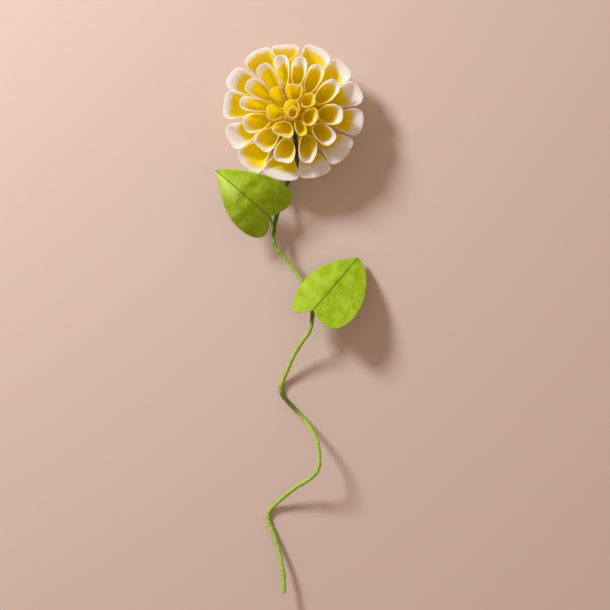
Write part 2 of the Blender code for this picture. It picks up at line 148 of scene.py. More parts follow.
@dataclass
class Petal:
    """A scooped petal on the head's ring map, as in the solids, and how its white tip was dyed.

    The white reaches this many millimetres down from the rim at the tip, shifted to one side by the lean: at 1
    it is centred halfway round to the left margin, looking from the foot to the tip.
    """

    tip: tuple
    foot: tuple
    width: float
    point: float = 0.2
    square: float = 0.2
    parted: float = 0.0
    notch: float = 0.0
    white: float = 1.0
    lean: float = 0.0


INNER_PETALS = [
    Petal(tip=(84, 1.1), foot=(86, 0.46), width=0.76, square=0.35, notch=0.14, white=1.6),
    Petal(tip=(27, 1.02), foot=(48, 0.56), width=0.6, point=0, square=0.45, white=1.2, lean=0.3),
    Petal(tip=(-17, 1.05), foot=(-17, 0.46), width=0.82, point=0.1, square=0, white=1.6, lean=-0.2),
    Petal(tip=(-65, 1.08), foot=(-61, 0.42), width=0.5, point=0.1, square=0.3, white=0.6),
    Petal(tip=(-114, 1.1), foot=(-118, 0.46), width=0.92, point=0.6, square=0.3, white=2.2),
    Petal(tip=(-174, 1.02), foot=(-178, 0.44), width=0.71, parted=0.4, white=1.2),
    Petal(tip=(131, 1.18), foot=(136, 0.5), width=0.57, parted=0.5, white=0.6),
]

MIDDLE_PETALS = [
    Petal(tip=(81, 2.28), foot=(81, 1.12), width=0.68, white=6.5, lean=-0.3),
    Petal(tip=(102, 2.42), foot=(104, 1.22), width=0.65, point=0.6, white=7),
    Petal(tip=(124, 2.33), foot=(123, 1.26), width=0.73, parted=0.5, white=4.5, lean=0.2),
    Petal(tip=(147, 2.2), foot=(146, 1.16), width=0.7, parted=0.6, white=4.5, lean=0.2),
    Petal(tip=(169, 2.17), foot=(169, 1.1), width=0.63, parted=0.6, white=5),
    Petal(tip=(-164, 2.03), foot=(-164, 1.1), width=0.86, square=0.3, parted=0.4, white=3.4, lean=0.2),
    Petal(tip=(-133, 1.96), foot=(-132, 1.12), width=0.95, square=0.35, parted=0.3, white=3.6, lean=0.1),
    Petal(tip=(-101, 2.08), foot=(-99, 1.16), width=0.93, point=0.4, square=0.3, white=4.2, lean=0.1),
    Petal(tip=(-75, 2.15), foot=(-53, 1.2), width=0.82, point=-0.25, square=0.2, white=5.5),
    Petal(tip=(-37, 2.06), foot=(-31, 1.1), width=0.8, square=0.25, white=4.8),
    Petal(tip=(-4, 2.05), foot=(-4, 1.1), width=0.91, point=0.1, white=4.8, lean=-0.1),
    Petal(tip=(34, 2.2), foot=(20, 1.1), width=0.79, point=0.1, square=0.15, white=4.2),
    Petal(tip=(60, 2.19), foot=(52, 1.08), width=0.73, square=0.15, parted=0.3, white=3),
]

OUTER_PETALS = [
    Petal(tip=(96, 2.93), foot=(97, 2.42), width=1.24, point=1, square=0.4, white=2.2),
    Petal(tip=(67, 3.04), foot=(69, 2.24), width=1.35, square=0.1, parted=0.65, white=4, lean=-0.5),
    Petal(tip=(42, 3.1), foot=(43, 2.2), width=1.2, square=0.1, parted=0.6, white=6, lean=-0.1),
    Petal(tip=(19, 3.11), foot=(17, 2.1), width=1.15, square=0.15, parted=0.4, white=10),
    Petal(tip=(-8, 3.04), foot=(-7, 2.1), width=1.24, square=0.1, parted=0.55, white=6.5),
    Petal(tip=(-38, 2.91), foot=(-37, 2.1), width=1.47, square=0.05, parted=0.6, white=12, lean=-0.2),
    Petal(tip=(-69, 2.88), foot=(-67, 2.18), width=1.45, square=0.05, parted=0.7, white=11, lean=-0.1),
    Petal(tip=(-101, 2.84), foot=(-101, 2.16), width=1.65, square=0.1, parted=0.75, white=5.5),
    Petal(tip=(-132, 3.02), foot=(-131, 2.14), width=1.37, square=0.15, parted=0.65, white=3),
    Petal(tip=(-158, 2.92), foot=(-158, 2.1), width=1.2, square=0.15, parted=0.6, white=8.5),
    Petal(tip=(172, 2.94), foot=(172, 2.22), width=1.3, square=0.2, parted=0.7, white=3.6),
    Petal(tip=(148, 3.16), foot=(148, 2.26), width=1.14, square=0.15, parted=0.6, white=6.5, lean=0.2),
    Petal(tip=(121, 3.11), foot=(121, 2.4), width=1.35, square=0.2, parted=0.7, white=2.4),
]

CENTRE_WRAP = Petal(tip=(92, 0.44), foot=(-90, 0.44), width=0.7, point=0.3, square=0.1, white=0.5)

# The stem's places, as in the solids: X, Y and the height of its underside, in mm
STEM_BEND = [(0.1, -0.5, 2.9), (0.4, -2.9, 1.3)]
STEM_UNDER_HEAD = [(1, -8, 1.5), (2, -16, 1.5), (2.6, -24, 1.6), (2, -32, 2.3)]
STEM_PAST_HEAD = [
    (-1, 6, 3.9), (-4.5, -0.5, 5.7), (-7.3, -10.5, 7.7), (-9.8, -18.5, 9), (-11.4, -25.5, 9.7),
    (-12, -32, 10.2), (-11.7, -36.3, 10.6), (-10.1, -39.7, 10.6), (-7.2, -42.9, 10.3), (-2.8, -48.5, 10),
    (1.7, -54.8, 10.2), (6.7, -61.8, 11.3), (10.5, -68.8, 13.2), (12.1, -75.1, 15.2), (12.6, -81.4, 16),
    (12.3, -87.1, 15.1), (10.6, -92.8, 13.5), (7, -97.9, 11.4), (3.9, -102.5, 9.3), (0.4, -108.8, 6.7),
    (-2.9, -116.5, 3.7), (-5.5, -122.5, 1.5), (-7.2, -127.1, 0.3), (-7.4, -130.6, 0), (-6.1, -134.1, 0.3),
    (-1.6, -139.1, 2.2), (3.5, -144, 5.2), (8.6, -150.1, 8.7), (12.4, -155.6, 11.7), (15.3, -161.1, 14.2),
    (16.6, -167.2, 16), (17, -173.4, 16.7), (16.6, -178.5, 16.4), (14.4, -182.5, 15.1), (9.9, -186.5, 12.5),
    (3.5, -190.8, 9), (-4.1, -197, 5), (-10.6, -203.2, 1.6), (-14.7, -207.7, 0.2), (-15.8, -211.5, 0),
    (-14.5, -216.5, 0.3), (-11.9, -223.1, 1.6), (-9.3, -231.1, 3.4), (-7.3, -238.5, 5), (-6, -246, 6.2),
    (-5.4, -252.8, 7.2), (-5.4, -259, 8),
]


# The stretches of painted shade on the tape, where the stem lies in the shade of the head, of the leaves and of
# its own higher stretches, and the lumps of the tape: the place past the head, the half length and the strength.
# The lengths are in mm, and so is a lump's height.
PAINTED_TAPE_SHADE = [(18, 24, 1), (-25, 20, 0.75), (-84, 5, 0.7), (-138, 9, 1)]
TAPE_LUMPS = [
    (-41.6, 1.3, 0.3), (-102.7, 1, 0.25), (-128.4, 1.6, 0.1), (-188.2, 1.1, 0.3), (-247.4, 1.2, 0.25),
]


@dataclass
class Leaf:
    """A heart-shaped leaf, folded along its midrib, as in the solids. Lengths are in mm.

    Its paper is palest round one place: painted light where the leaf faces the lamp, and on the upper leaf partly a
    paler tone of the paper itself. The place is given as shares from the notch to the tip and from the left edge at -1
    to the right edge at 1, with how pale it is there.
    """

    base: tuple
    tip: tuple
    halves: tuple
    lobes: tuple
    hugs: tuple
    points: tuple
    lifts: tuple
    arch: float
    side: tuple
    pale: tuple


UPPER_LEAF = Leaf(
    base=(-14.4, -20.1, 15),
    tip=(-47.9, 8.5, OUTER_RING_TOP / MM + 3),
    halves=(18, 21.3),
    lobes=(8.6, 12),
    hugs=(9, 1.1),
    points=(1.3, 0.7),
    lifts=(-2, 1.5),
    arch=OUTER_RING_TOP / MM - 15,
    side=(-0.5, 0, 0.8),
    pale=(0.85, -0.4, 1),
)

LOWER_LEAF = Leaf(
    base=(13.4, -78.9, 22),
    tip=(42, -45.6, 4.5),
    halves=(16.4, 22.2),
    lobes=(10, 8.3),
    hugs=(14, 2),
    points=(1.1, 0.4),
    lifts=(-4.6, 2),
    arch=2.5,
    side=(0.4, 0, 0.9),
    pale=(0.35, -0.5, 0.35),
)


# Sums that the pieces share

def unit(vectors):
    lengths = np.linalg.norm(vectors, axis=-1, keepdims=True)
    return vectors / np.maximum(lengths, 1e-12)


def smooth(value):
    value = np.clip(value, 0, 1)
    return value * value * (3 - 2 * value)


def waves(places, length, random, octaves=3):
    """Smooth seeded unevenness between about -1 and 1 along a line, with this wavelength."""
    total = np.zeros_like(places, dtype=float)
    weight = 1.0
    for octave in range(octaves):
        phase = random.uniform(0, 2 * math.pi, 2)
        pace = 2 * math.pi * 2**octave / length
        total += weight * np.sin(places * pace + phase[0]) * np.cos(places * pace * 0.37 + phase[1])
        weight /= 2
    return total


def through(values, ring):
    """The value at ring numbers, on a smooth curve through one value for each whole ring."""
    values = np.array(values, dtype=float)
    rises = np.diff(values)
    before, after = rises[:-1], rises[1:]
    same_way = before * after > 0
    inner = np.where(same_way, 2 * before * after / np.where(same_way, before + after, 1), 0)
    slopes = np.concatenate((rises[:1], inner, rises[-1:]))
    whole = np.clip(np.floor(ring).astype(int), 0, RINGS - 1)
    part = ring - whole
    rise, start, end = rises[whole], slopes[whole], slopes[whole + 1]
    bend = 3 * rise - 2 * start - end
    twist = start + end - 2 * rise
    inside = values[whole] + part * (start + part * (bend + part * twist))
    return np.where(ring >= RINGS, values[-1] + (ring - RINGS) * slopes[-1], inside)


# The head's own frame stands on the axis of the core

CORE_LOW, CORE_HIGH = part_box("petal_core")
HEAD = np.array(
    (
        (CORE_LOW.x + CORE_HIGH.x) / 2,
        (CORE_LOW.y + CORE_HIGH.y) / 2,
        CORE_HIGH.z - CORE_HEIGHT - CORE_RADIUS,
    )
)

# The height of the surface that the flower lies on, in the head's frame
REST = CAD_BOX[0].z - HEAD[2]


def profile(ring, depth):
    """Radius and height on the curved ray of a ring, from the core at depth 0 to the rims at depth 1."""
    ring, depth = np.broadcast_arrays(np.asarray(ring, float), np.asarray(depth, float))
    lean = CLAW_SPREAD * ring
    seat = CORE_RADIUS + GAP + PAPER / 2
    share = ring / RINGS
    start = np.stack((seat * np.sin(lean), CORE_HEIGHT + seat * np.cos(lean)), -1)
    belly = np.stack((BELLY_RADIUS * share, BELLY_TOP + (BELLY_BOTTOM - BELLY_TOP) * share**2), -1)
    radii = (0, INNER_RING_RADIUS, MIDDLE_RING_RADIUS, OUTER_RING_RADIUS)
    tops = (CENTRE_TOP, INNER_RING_TOP, MIDDLE_RING_TOP, OUTER_RING_TOP)
    end = np.stack((through(radii, ring), through(tops, ring)), -1)
    slope = through(CURLED_SLOPES, ring)
    shoulder = end - SHOULDER * np.stack((np.cos(slope), np.sin(slope)), -1)
    depth = depth[..., None]
    rest = 1 - depth
    lower = rest * rest * (rest * start + 3 * depth * belly)
    return lower + depth * depth * (3 * rest * shoulder + depth * end)


def ring_size(ring, depth):
    """How long one unit of the ring map is in the head, in the direction in which it is shortest."""
    step = 0.05
    ring = max(ring, 6 * step)
    radius = profile(ring, depth)[..., 0]
    along = np.linalg.norm(profile(ring + step, depth) - profile(ring - step, depth), axis=-1) / (2 * step)
    return np.minimum(radius / ring, along)


def ring_spot(place):
    azimuth, ring = place
    return ring * np.array((math.cos(math.radians(azimuth)), math.sin(math.radians(azimuth))))


def bulge(turn, point):
    """Half the width of a drop shape whose margins meet at turns of -1 and 1, as a share of the widest."""
    angle = math.pi * turn / 2
    widest = 2 * math.sqrt(1 / (point + 2)) * ((point + 1) / (point + 2)) ** ((point + 1) / 2)
    return 2 * np.sin(angle) * np.maximum(np.cos(angle), 0) ** (point + 1) / widest


def cup_outline(petal, turn):
    """How far forward and how far to the side the petal's cup is there, each as a share of the most."""
    forward = np.cos(np.pi * turn)
    straight = np.sin(np.pi / 2 * np.clip(2 * turn, -1, 1))
    flared = straight * (1 + PARTED_FLARE * forward)
    aside = bulge(turn, petal.point) * (1 - petal.parted) + flared * petal.parted
    fuller = petal.square * (1 - petal.parted) * (1 - np.abs(aside)) * forward**2
    return forward * (1 + petal.square * (1 - forward**2)), aside * (1 + fuller)


def petal_points(petal, turn, level, narrowing):
    """Places on a petal's sheet in the head. The turn goes round from one margin at -1 to the other at 1, and
    the level from its claw at 0 to its rim at 1."""
    inward = (1 - np.cos(np.pi * turn)) / 2
    drop = RIM_DROP + PARTED_DROP * petal.parted
    depth = level * (1 - drop * inward**2)
    tip, foot = ring_spot(petal.tip), ring_spot(petal.foot)
    middle = (tip + foot) / 2
    length = float(np.linalg.norm(tip - foot))
    axis = (tip - foot) / length
    across = np.array((-axis[1], axis[0]))
    size = ring_size(float(np.linalg.norm(middle)), depth)
    inset = (PAPER + GAP) / 2 / size
    slit = inset * (1 - petal.parted)
    narrowed = 1 - narrowing * (1 - depth)
    half = np.maximum(petal.width / 2 - inset - slit, 0) * narrowed
    forward, aside = cup_outline(petal, turn)
    dent = petal.notch * np.exp(-((turn / NOTCH_WIDTH) ** 2)) * depth
    opened = smooth(depth / CUP_DEPTH)
    cup_along = (length / 2 - inset) * narrowed * (forward - dent)
    cup_across = half * aside + slit * turn
    claw = CLAW_RADIUS / size
    along = claw * np.cos(CLAW_WRAP * turn) * (1 - opened) + cup_along * opened
    sideways = claw * np.sin(CLAW_WRAP * turn) * (1 - opened) + cup_across * opened
    spot = middle + along[..., None] * axis + sideways[..., None] * across
    ring = np.maximum(np.linalg.norm(spot, axis=-1), 1e-6)
    place = profile(ring, depth)
    return np.concatenate((spot * (place[..., :1] / ring[..., None]), place[..., 1:]), -1)


# Building meshes

def mesh_object(name, points, faces, attributes, material):
    """An object from arrays of points and of faces with four corners, with values for the points."""
    mesh = bpy.data.meshes.new(name)
    mesh.vertices.add(len(points))
    mesh.vertices.foreach_set("co", np.ascontiguousarray(points, np.float32).ravel())
    mesh.loops.add(4 * len(faces))
    mesh.loops.foreach_set("vertex_index", np.ascontiguousarray(faces, np.int32).ravel())
    mesh.polygons.add(len(faces))
    mesh.polygons.foreach_set("loop_start", np.arange(0, 4 * len(faces), 4, dtype=np.int32))
    mesh.update(calc_edges=True)
    for title, values in attributes.items():
        values = np.ascontiguousarray(values, np.float32)
        if values.ndim == 1:
            mesh.attributes.new(title, "FLOAT", "POINT").data.foreach_set("value", values)
        else:
            mesh.attributes.new(title, "FLOAT_VECTOR", "POINT").data.foreach_set("vector", values.ravel())
    mesh.materials.append(material)
    mesh.shade_smooth()
    mesh.validate()
    thing = bpy.data.objects.new(name, mesh)
    bpy.context.scene.collection.objects.link(thing)
    return thing


def grid_faces(rows, columns, first=0, wrap=False):
    """The faces of a grid of points whose rows follow one another from a first index."""
    row, column = np.meshgrid(np.arange(rows - 1), np.arange(columns if wrap else columns - 1), indexing="ij")
    after = (column + 1) % columns
    corners = (row * columns + column, row * columns + after, (row + 1) * columns + after, (row + 1) * columns + column)
    return first + np.stack([corner.ravel() for corner in corners], axis=1)


def border(rows, columns):
    """The indices of a grid's border, once round it, with the first row from left to right."""
    index = np.arange(rows * columns).reshape(rows, columns)
    return np.concatenate((index[0, :-1], index[:-1, -1], index[-1, :0:-1], index[:0:-1, 0]))


def sheet_normals(points):
    """Unit normals of a grid of points, from the differences between its neighbours."""
    along = np.gradient(points, axis=0)
    across = np.gradient(points, axis=1)
    return unit(np.cross(across, along))


def sheet_object(name, points, thickness, attributes, material):
    """A closed sheet round a grid of points, with rounded edges. The thickness may differ from point to point."""
    rows, columns = points.shape[:2]
    count = rows * columns
    normals = sheet_normals(points)
    thickness = np.broadcast_to(thickness, (rows, columns))[..., None]
    top = points + normals * thickness / 2
    bottom = points - normals * thickness / 2
    outward = np.zeros_like(points)
    outward[:, 0] = unit(points[:, 0] - points[:, 1])
    outward[:, -1] = unit(points[:, -1] - points[:, -2])
    outward[0, 1:-1] = unit(points[0, 1:-1] - points[1, 1:-1])
    outward[-1, 1:-1] = unit(points[-1, 1:-1] - points[-2, 1:-1])
    loop = border(rows, columns)
    flat_points = points.reshape(-1, 3)
    flat_normals = normals.reshape(-1, 3)
    flat_outward = outward.reshape(-1, 3)
    half = thickness.reshape(-1, 1)[loop] / 2
    rings = []
    for step in range(1, EDGE_STEPS):
        angle = math.pi * step / EDGE_STEPS
        rings.append(
            flat_points[loop]
            + flat_normals[loop] * half * math.cos(angle)
            + flat_outward[loop] * half * math.sin(angle)
        )
    around = len(loop)
    levels = [loop] + [2 * count + number * around + np.arange(around) for number in range(EDGE_STEPS - 1)]
    levels.append(count + loop)
    strips = []
    for upper, lower in zip(levels, levels[1:]):
        strips.append(np.stack((upper, lower, np.roll(lower, -1), np.roll(upper, -1)), axis=1))
    face = grid_faces(rows, columns)
    faces = np.concatenate([face, count + face[:, ::-1], *strips])
    all_points = np.concatenate([top.reshape(-1, 3), bottom.reshape(-1, 3), *rings])
    values = {}
    for title, value in attributes.items():
        value = np.broadcast_to(value, (rows, columns, *np.shape(value)[2:]))
        flat = value.reshape(count, *value.shape[2:])
        values[title] = np.concatenate([flat, flat, *[flat[loop]] * (EDGE_STEPS - 1)])
    return mesh_object(name, all_points, faces, values, material)


def finish_piece(piece, slot, *nodes):
    """Lets a piece stand for its solids and ride with the flower. The slot is not used."""
    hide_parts(*nodes)
    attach(piece, "root")
    return piece


# Materials

def add_node(tree, kind, settings=None, inputs=None):
    """A shader node with its settings and its inputs, which are values or other nodes' outputs."""
    node = tree.nodes.new(kind)
    for title, value in (settings or {}).items():
        setattr(node, title, value)
    for title, value in (inputs or {}).items():
        if isinstance(value, bpy.types.NodeSocket):
            tree.links.new(value, node.inputs[title])
        else:
            node.inputs[title].default_value = value
    return node


def attribute(tree, title):
    return add_node(tree, "ShaderNodeAttribute", {"attribute_name": title})


def noise(tree, vector, scale, detail=3.0, roughness=0.55):
    """Noise between 0 and 1 over a vector."""
    inputs = {"Vector": vector, "Scale": scale, "Detail": detail, "Roughness": roughness}
    return add_node(tree, "ShaderNodeTexNoise", inputs=inputs).outputs["Fac"]


def stretched(tree, vector, stretch):
    inputs = {"Vector": vector, "Scale": stretch}
    return add_node(tree, "ShaderNodeMapping", inputs=inputs).outputs["Vector"]


def sums(tree, operation, first, second=0.0, third=0.0):
    node = add_node(tree, "ShaderNodeMath", {"operation": operation})
    for socket, value in zip(node.inputs, (first, second, third)):
        if isinstance(value, bpy.types.NodeSocket):
            tree.links.new(value, socket)
        else:
            socket.default_value = value
    return node.outputs["Value"]


def step_between(tree, value, low, high, start=0.0, end=1.0):
    """A smooth step of a value from low to high, giving start to end."""
    inputs = {"Value": value, "From Min": low, "From Max": high, "To Min": start, "To Max": end}
    node = add_node(tree, "ShaderNodeMapRange", {"interpolation_type": "SMOOTHSTEP"}, inputs)
    return node.outputs["Result"]


def blend(tree, share, first, second, kind="MIX"):
    """A mix of two colours, each a colour or another node's output."""
    node = add_node(tree, "ShaderNodeMix", {"data_type": "RGBA", "blend_type": kind})
    for socket, value in zip((node.inputs[0], node.inputs[6], node.inputs[7]), (share, first, second)):
        if isinstance(value, bpy.types.NodeSocket):
            tree.links.new(value, socket)
        elif isinstance(value, tuple):
            socket.default_value = (*value, 1)
        else:
            socket.default_value = value
    return node.outputs[2]


def bump(tree, height, distance, strength=1.0, under=None):
    inputs = {"Height": height, "Distance": distance, "Strength": strength}
    if under is not None:
        inputs["Normal"] = under
    return add_node(tree, "ShaderNodeBump", inputs=inputs).outputs["Normal"]


def new_material(name, roughness, glow=0.0, glow_radius=(1.0, 0.6, 0.2), glow_scale=1.0 * MM):
    """A material, its tree and its shader. The glow is light that spreads inside the paper."""
    material = bpy.data.materials.new(name)
    material.use_nodes = True
    tree = material.node_tree
    shader = tree.nodes["Principled BSDF"]
    shader.inputs["Roughness"].default_value = roughness
    shader.inputs["Specular IOR Level"].default_value = 0.2
    shader.inputs["Subsurface Weight"].default_value = glow
    shader.inputs["Subsurface Radius"].default_value = glow_radius
    shader.inputs["Subsurface Scale"].default_value = glow_scale
    return material, tree, shader


def let_light_through(tree, shader, color, relief):
    """Lets a share of the light pass through thin paper."""
    passed = add_node(tree, "ShaderNodeBsdfTranslucent", inputs={"Color": color, "Normal": relief})
    both = add_node(tree, "ShaderNodeMixShader", inputs={"Fac": PASSED_LIGHT})
    tree.links.new(shader.outputs["BSDF"], both.inputs[1])
    tree.links.new(passed.outputs["BSDF"], both.inputs[2])
    tree.links.new(both.outputs["Shader"], tree.nodes["Material Output"].inputs["Surface"])


def crepe_height(tree, paper):
    """The fine ridges of crepe paper, which run the length of the strip."""
    fine = noise(tree, stretched(tree, paper, (2.4, 0.22, 1)), 1, detail=4)
    broad = noise(tree, stretched(tree, paper, (0.7, 0.1, 1)), 1, detail=2)
    return sums(tree, "MULTIPLY_ADD", broad, 0.8, fine)


def petal_material(name, yellow, mottle_and_painted_light_yellow, white, rim):
    """Yellow crepe paper with a tip that was dipped in white, and a pale cut edge that is partly a painted highlight.
    It has painted light deep in its cups and painted sheen on the yellow near the white.
    """
    material, tree, shader = new_material(name, 0.88)
    paper = attribute(tree, "paper").outputs["Vector"]
    from_rim = attribute(tree, "from_rim").outputs["Fac"]
    white_reach = attribute(tree, "white_reach").outputs["Fac"]
    streaks = noise(tree, stretched(tree, paper, (0.9, 0.2, 1)), 1, detail=4, roughness=0.65)
    mottle = noise(tree, paper, 0.22, detail=3)
    # Painted light: from 2 to 16 mm below the rim the yellow turns lighter and paler, deeper in the cups
    yellows = blend(tree, step_between(tree, from_rim, 2, 16), yellow, mottle_and_painted_light_yellow)
    # Random mottle towards the same lighter yellow, the paper's own uneven tone
    yellows = blend(tree, step_between(tree, mottle, 0.35, 0.7, 0, 0.25), yellows, mottle_and_painted_light_yellow)
    teeth = sums(tree, "MULTIPLY_ADD", streaks, 4.0, -2.0)
    past_edge = sums(tree, "SUBTRACT", sums(tree, "ADD", white_reach, teeth), from_rim)
    dipped = step_between(tree, white_reach, 0.7, 2.2)
    # Painted sheen: a faint whitening of the yellow up to 7 mm past the white's edge
    painted_sheen = step_between(tree, past_edge, -7, 0.5, 0, 0.2)
    full = step_between(tree, past_edge, -1.5, 1.3)
    whitened = sums(tree, "MULTIPLY", sums(tree, "MAXIMUM", painted_sheen, full), dipped)
    color = blend(tree, whitened, yellows, white)
    # The cut edge is paler, and this band along the rim is partly a painted highlight
    edge = step_between(tree, from_rim, 0.6, 0.2, 0, 0.85)
    color = blend(tree, edge, color, blend(tree, dipped, rim, white))
    relief = bump(tree, crepe_height(tree, paper), 0.06 * MM, 0.8)
    tree.links.new(color, shader.inputs["Base Color"])
    tree.links.new(relief, shader.inputs["Normal"])
    let_light_through(tree, shader, color, relief)
    return material


def leaf_material():
    """Creased green paper, mottled, with a painted lit patch, painted light and shade on its grain and painted shade in
    the fold along the midrib.
    """
    material, tree, shader = new_material("leaf_paper", 0.85)
    shader.inputs["Specular IOR Level"].default_value = 0.08
    pale = attribute(tree, "pale").outputs["Fac"]
    paper = attribute(tree, "paper").outputs["Vector"]
    from_fold = attribute(tree, "from_fold").outputs["Fac"]
    blotches = noise(tree, paper, 0.16, detail=5, roughness=0.62)
    grain = noise(tree, stretched(tree, paper, (1.3, 0.7, 1)), 1, detail=5, roughness=0.7)
    color = blend(tree, step_between(tree, blotches, 0.35, 0.66), (0.25, 0.37, 0.001), (0.35, 0.49, 0.03))
    # Painted light: a paler patch where the leaf faces the lamp, on the upper leaf partly a paler tone of the paper
    color = blend(tree, step_between(tree, pale, 0.1, 0.95, 0, 0.75), color, (0.58, 0.68, 0.15))
    # Painted highlight on the raised grain and painted shade in its hollows, following the grain's relief
    color = blend(tree, step_between(tree, grain, 0.5, 0.78, 0, 0.4), color, (0.46, 0.59, 0.08))
    color = blend(tree, step_between(tree, grain, 0.42, 0.25, 0, 0.4), color, (0.18, 0.27, 0.012))
    # Painted shade in the crease along the midrib
    color = blend(tree, step_between(tree, from_fold, 0.65, 0.12, 0, 0.85), color, (0.06, 0.11, 0.01))
    tree.links.new(color, shader.inputs["Base Color"])
    veins = noise(tree, paper, 0.5, detail=5, roughness=0.6)
    relief = bump(tree, veins, 0.55 * MM, 0.9)
    tree.links.new(bump(tree, grain, 0.18 * MM, 0.9, relief), shader.inputs["Normal"])
    return material


def tape_material(name):
    """Waxed green paper tape, darker along the edge of each turn, with painted shade where the stem lies in shade."""
    material, tree, shader = new_material(name, 0.6)
    paper = attribute(tree, "paper").outputs["Vector"]
    overlap = attribute(tree, "overlap").outputs["Fac"]
    mottle = noise(tree, stretched(tree, paper, (0.5, 0.5, 1)), 1, detail=4)
    fibres = noise(tree, stretched(tree, paper, (0.35, 2.6, 1)), 1, detail=3)
    color = blend(tree, step_between(tree, mottle, 0.35, 0.7), (0.25, 0.37, 0.03), (0.40, 0.55, 0.10))
    # Painted shade: the tape turns dark olive where the stem lies in the shade of the head, the leaves and its bends
    dark = attribute(tree, "painted_tape_shade").outputs["Fac"]
    color = blend(tree, step_between(tree, dark, 0.0, 1.0), color, (0.06, 0.10, 0.002))
    color = blend(tree, step_between(tree, overlap, 0.12, 0.0, 0, 0.5), color, (0.11, 0.19, 0.02))
    tree.links.new(color, shader.inputs["Base Color"])
    tree.links.new(bump(tree, fibres, 0.12 * MM, 0.7), shader.inputs["Normal"])
    return material


def plain_paper_material(name, dark, light, roughness=0.9):
    """Paper that hardly shows, with a little unevenness."""
    material, tree, shader = new_material(name, roughness)
    place = add_node(tree, "ShaderNodeTexCoord").outputs["Object"]
    mottle = noise(tree, place, 900, detail=4)
    tree.links.new(blend(tree, mottle, dark, light), shader.inputs["Base Color"])
    tree.links.new(bump(tree, mottle, 0.15 * MM, 0.7), shader.inputs["Normal"])
    return material


def steel_material():
    """Drawn steel wire with fine scratches."""
    material, tree, shader = new_material("stem_wire_steel", 0.38)
    shader.inputs["Metallic"].default_value = 1
    place = add_node(tree, "ShaderNodeTexCoord").outputs["Object"]
    scratches = noise(tree, place, 6000, detail=3)
    tree.links.new(blend(tree, scratches, (0.36, 0.36, 0.34), (0.55, 0.55, 0.53)), shader.inputs["Base Color"])
    tree.links.new(bump(tree, scratches, 0.02 * MM, 0.5), shader.inputs["Normal"])
    return material


# Petals

def paper_coordinates(points, half_width, seed):
    """Where each point of a sheet was on the flat strip, in mm, with a number of its own for each sheet."""
    rows, columns = points.shape[:2]
    steps = np.linalg.norm(np.diff(points, axis=0), axis=-1)
    along = np.concatenate((np.zeros((1, columns)), np.cumsum(steps, axis=0))) / MM
    across = np.broadcast_to(np.linspace(-half_width, half_width, columns), (rows, columns))
    flat = np.stack((across, along, np.full((rows, columns), float(seed))), -1)
    return flat, along[-1] - along


def white_reach(petal, turns, random):
    """How far down from the rim the white goes at each turn, in mm."""
    middle = petal.lean * 0.5
    side = np.abs(turns - middle) / (1 - np.abs(middle) * np.sign(turns - middle) * np.sign(middle))
    shape = smooth(1.55 * (0.8 - side))
    wander = 1 + 0.12 * waves(turns, 1.1, random)
    return petal.white * shape * wander + 0.2


def make_petal(name, petal, seed, material, slot, narrowing=NARROWING):
    random = np.random.default_rng(seed)
    turns = np.linspace(-1, 1, PETAL_COLUMNS + 1)
    levels = np.linspace(0, 1, PETAL_LEVELS + 1)[:, None]
    reach = 1 + 0.006 * waves(turns, 0.5, random)
    turn, level = np.broadcast_arrays(turns, levels * reach)
    points = petal_points(petal, turn, level, narrowing)
    flutter = 0.07 * MM * waves(turns, 0.33, random) * levels**2 * (1 - turns**8)
    points = points + sheet_normals(points) * flutter[..., None]
    half_width = petal.width * 10
    paper, from_rim = paper_coordinates(points, half_width, 7.3 * seed)
    attributes = {
        "paper": paper,
        "from_rim": from_rim,
        "white_reach": white_reach(petal, turns, random)[None, :],
    }
    piece = sheet_object(name, points + HEAD, PAPER, attributes, material)
    return finish_piece(piece, slot, name)


def make_ring(prefix, petals, first_seed, material, slot, narrowing=NARROWING):
    for number, petal in enumerate(petals, start=1):
        make_petal(f"{prefix}_{number:02d}", petal, first_seed + number, material, slot, narrowing)


def make_centre_roll(material):
    """The strip rolled up inside the centre wrap."""
    share = np.linspace(0, 1, ROLL_COLUMNS + 1)[None, :]
    level = np.linspace(0, 1, ROLL_LEVELS + 1)[:, None]
    pitch = PAPER + 2 * GAP
    angle = math.pi / 2 - 2 * math.pi * ROLL_TURNS * share
    radius = (ROLL_RADIUS - pitch * ROLL_TURNS * share) * (1 - ROLL_TAPER * (1 - level))
    along = ROLL_OVAL * radius * np.sin(angle) - ROLL_SHIFT
    height = CENTRE_TOP - ROLL_SINK - ROLL_LENGTH * (1 - level)
    points = np.stack(np.broadcast_arrays(radius * np.cos(angle), along, height), -1)
    paper, from_rim = paper_coordinates(points, 12, 3)
    attributes = {"paper": paper, "from_rim": from_rim, "white_reach": np.full((1, 1), 0.2)}
    piece = sheet_object("centre_roll", points + HEAD, PAPER, attributes, material)
    return finish_piece(piece, "inner_petal_paper", "centre_roll")


def make_head():
    # The second yellow is the painted light deep in the cups, and also the colour that the random mottle leans to
    yellow, mottle_and_painted_light_yellow = (0.97, 0.82, 0.004), (0.99, 0.93, 0.002)
    # The last colour of each ring is its paler cut edge, and that edge is partly a painted highlight along the rim
    inner = petal_material("inner_petal_crepe", yellow, mottle_and_painted_light_yellow, (0.91, 0.86, 0.74), (0.92, 0.82, 0.42))
    middle = petal_material("middle_petal_crepe", yellow, mottle_and_painted_light_yellow, (0.96, 0.93, 0.91), (0.95, 0.88, 0.62))
    outer = petal_material("outer_petal_crepe", yellow, mottle_and_painted_light_yellow, (0.97, 0.95, 0.95), (0.95, 0.90, 0.74))
    make_ring("petal_inner", INNER_PETALS, 100, inner, "inner_petal_paper")
    make_ring("petal_middle", MIDDLE_PETALS, 200, middle, "middle_petal_paper")
    make_ring("petal_outer", OUTER_PETALS, 300, outer, "outer_petal_paper", OUTER_NARROWING)
    make_petal("centre_wrap", CENTRE_WRAP, 10, inner, "inner_petal_paper")
    make_centre_roll(inner)


